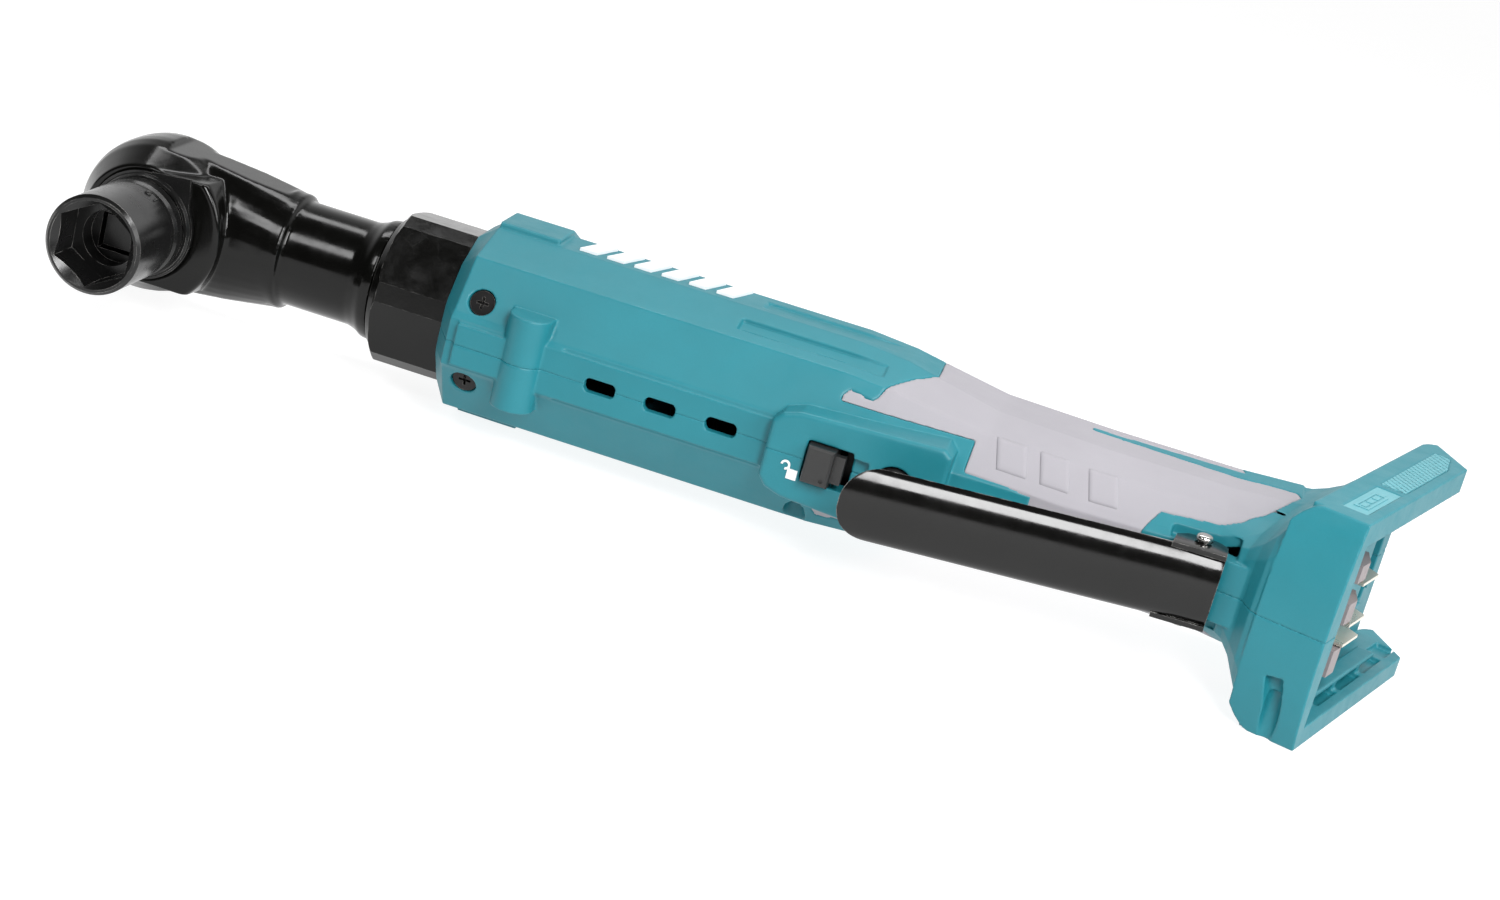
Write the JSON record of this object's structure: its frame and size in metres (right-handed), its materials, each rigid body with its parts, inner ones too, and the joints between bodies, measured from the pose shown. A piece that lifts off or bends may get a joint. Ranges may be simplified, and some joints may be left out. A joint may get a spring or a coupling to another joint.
{
  "type": "cordless ratchet wrench",
  "caption": "Long-nosed powered ratchet wrench with a hexagon socket, paddle trigger, slide lock and open battery foot, shown without its battery.",
  "frame": {"origin": "centre of the socket mouth, on the drive axis", "axes": "+X along the tool from the head to the battery foot, -Y out of the socket mouth, +Z square to the shell parting plane"},
  "size_m": [0.3679, 0.1053, 0.0599],
  "materials": {
    "black_steel": "gloss black over forged steel",
    "dark_steel": "dark phosphated steel",
    "spring_steel": "blued spring steel",
    "bright_steel": "ground steel",
    "socket_black": "black oxide, semi gloss",
    "bronze": "sintered bronze",
    "motor_steel": "zinc plated",
    "magnet": "sintered ferrite",
    "lamination": "stacked laminations",
    "copper": "enamelled copper",
    "brass_guide": "pressed brass",
    "blade_brass": "tinned brass",
    "black_plastic": "moulded",
    "teal_shell": "fine spark texture",
    "grey_grip": "soft moulded grip",
    "black_screw": "black zinc",
    "paddle_black": "high gloss black",
    "black_rubber": "matt",
    "board_green": "solder mask",
    "grey_plastic": "moulded",
    "wire_black": "pvc sleeve",
    "wire_red": "pvc sleeve",
    "white_mark": "printed",
    "badge_teal": "moulded"
  },
  "bodies": {
    "tool": {"head_housing": "black_steel", "head_retainer": "dark_steel", "snap_ring": "spring_steel", "front_bushing": "bronze", "thrust_washers": "bronze", "crank_bearing": "bright_steel", "carrier_bearing": "bright_steel", "gear_collar": "black_steel", "gear_case": "dark_steel", "ring_gear": "dark_steel", "motor_can": "motor_steel", "motor_front_bearing": "bronze", "motor_magnets": "magnet", "motor_end_bell": "black_plastic", "motor_rear_bearing": "bronze", "motor_brushes": "brass_guide", "shell_upper": "teal_shell", "shell_lower": "teal_shell", "grip_upper": "grey_grip", "grip_lower": "grey_grip", "nose_screws": "black_screw", "shell_screws": "black_screw", "hinge_pin": "bright_steel", "hinge_clip": "spring_steel", "paddle_spring": "spring_steel", "switch_body": "black_plastic", "switch_boot": "black_rubber", "control_board": "board_green", "terminal_block": "grey_plastic", "terminal_blades": "blade_brass", "motor_wires": "wire_black", "battery_wires": "wire_red", "name_bars": "white_mark", "lock_icon": "white_mark", "foot_badge": "badge_teal", "foot_pad": "badge_teal"},
    "anvil": {"anvil": "dark_steel", "detent_ball": "bright_steel", "pawl_pin": "bright_steel"},
    "socket": {"impact_socket": "socket_black"},
    "knob": {"reverse_knob": "dark_steel"},
    "pawl": {"pawl": "spring_steel"},
    "yoke": {"yoke": "dark_steel"},
    "crank": {"crankshaft": "bright_steel", "drive_bushing": "bronze", "planet_pins": "bright_steel"},
    "planet_1": {"planet_gear_1": "bright_steel"},
    "planet_2": {"planet_gear_2": "bright_steel"},
    "planet_3": {"planet_gear_3": "bright_steel"},
    "rotor": {"rotor_shaft": "bright_steel", "rotor_core": "lamination", "rotor_windings": "copper", "commutator": "copper", "cooling_fan": "black_plastic", "sun_pinion": "bright_steel"},
    "paddle": {"trigger_paddle": "paddle_black"},
    "plunger": {"switch_plunger": "black_plastic"},
    "lock": {"lock_slider": "black_plastic"}
  },
  "joints": [
    {"name": "anvil_spin", "type": "hinge", "parent": "tool", "child": "anvil", "pos_m": [0, 0.048, 0], "axis": [0, -1, 0], "continuous": true},
    {"name": "socket_pull", "type": "slide", "parent": "anvil", "child": "socket", "axis": [0, -1, 0], "range_m": [0, 0.03]},
    {"name": "reverse_turn", "type": "hinge", "parent": "anvil", "child": "knob", "pos_m": [0, 0.048, 0], "axis": [0, 1, 0], "range_deg": [-30, 30]},
    {"name": "pawl_rock", "type": "hinge", "parent": "anvil", "child": "pawl", "pos_m": [0, 0.048, 0.0074], "axis": [0, 1, 0], "range_deg": [-1.6, 1.6]},
    {"name": "yoke_swing", "type": "hinge", "parent": "tool", "child": "yoke", "pos_m": [0, 0.048, 0], "axis": [0, -1, 0], "range_deg": [-4, 4]},
    {"name": "rotor_spin", "type": "hinge", "parent": "tool", "child": "rotor", "pos_m": [0.12, 0.048, 0], "axis": [1, 0, 0], "continuous": true},
    {"name": "crank_spin", "type": "hinge", "parent": "tool", "child": "crank", "pos_m": [0.06, 0.048, 0], "axis": [1, 0, 0], "continuous": true},
    {"name": "planet_1_spin", "type": "hinge", "parent": "crank", "child": "planet_1", "pos_m": [0.0805, 0.048, 0.0093], "axis": [1, 0, 0], "continuous": true},
    {"name": "planet_2_spin", "type": "hinge", "parent": "crank", "child": "planet_2", "pos_m": [0.0805, 0.03995, -0.00465], "axis": [1, 0, 0], "continuous": true},
    {"name": "planet_3_spin", "type": "hinge", "parent": "crank", "child": "planet_3", "pos_m": [0.0805, 0.05605, -0.00465], "axis": [1, 0, 0], "continuous": true},
    {"name": "paddle_squeeze", "type": "hinge", "parent": "tool", "child": "paddle", "pos_m": [0.2865, 0.0154, 0], "axis": [0, 0, -1], "range_deg": [0, 4.5], "stiffness_Nm_per_rad": 1.2, "springref_deg": -14.32},
    {"name": "plunger_push", "type": "slide", "parent": "tool", "child": "plunger", "axis": [0, 1, 0], "range_m": [0, 0.0061]},
    {"name": "lock_slide", "type": "slide", "parent": "tool", "child": "lock", "axis": [1, 0, 0], "range_m": [0, 0.004]}
  ],
  "couplings": [
    {"joint": "crank_spin", "follows": "rotor_spin", "ratio": 0.25},
    {"joint": "planet_1_spin", "follows": "rotor_spin", "ratio": -0.75},
    {"joint": "planet_2_spin", "follows": "rotor_spin", "ratio": -0.75},
    {"joint": "planet_3_spin", "follows": "rotor_spin", "ratio": -0.75},
    {"joint": "pawl_rock", "follows": "reverse_turn", "ratio": 0.05},
    {"joint": "plunger_push", "follows": "paddle_squeeze", "m_per_rad": 0.076}
  ]
}
